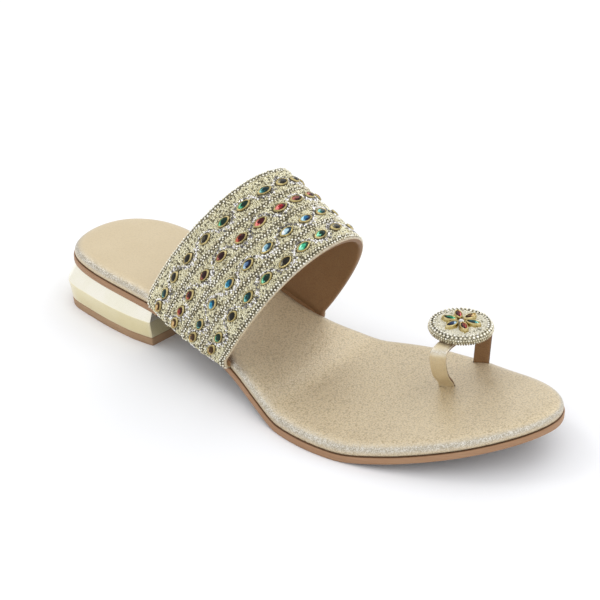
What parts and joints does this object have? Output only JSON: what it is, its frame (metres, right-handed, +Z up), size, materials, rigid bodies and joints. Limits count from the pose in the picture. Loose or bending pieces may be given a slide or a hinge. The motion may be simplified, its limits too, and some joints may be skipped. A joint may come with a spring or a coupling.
{
  "type": "toe ring sandal",
  "caption": "Right flat slide sandal with a wide jewelled instep strap, a toe ring under a round flower ornament, a slim padded footbed and a low faceted block heel",
  "frame": {"origin": "middle of the bounding box on the floor plane under the heel and the forefoot", "axes": "X to the outer side of the right foot, Y from the heel to the toe, Z up"},
  "size_m": [0.0936, 0.2516, 0.0869],
  "materials": {
    "tan_sole": "smooth satin",
    "champagne_leatherette": "metallic satin with a fine grain",
    "gold_heel": "metallised, polished",
    "top_lift_brown": "matt",
    "beaded_strap": "covered in beads and glitter",
    "plate_glitter": "glitter",
    "gold_setting": "polished",
    "crystal": "clear gloss"
  },
  "bodies": {
    "root": {"outsole": "tan_sole", "insole": "champagne_leatherette", "heel_block": "gold_heel", "heel_top_lift": "top_lift_brown", "instep_strap": "beaded_strap", "toe_ring": "champagne_leatherette", "ring_disc": "plate_glitter", "petal_1": "gold_setting", "petal_2": "gold_setting", "petal_3": "gold_setting", "petal_4": "gold_setting", "petal_5": "gold_setting", "petal_6": "gold_setting", "centre_stone": "crystal"}
  },
  "joints": []
}
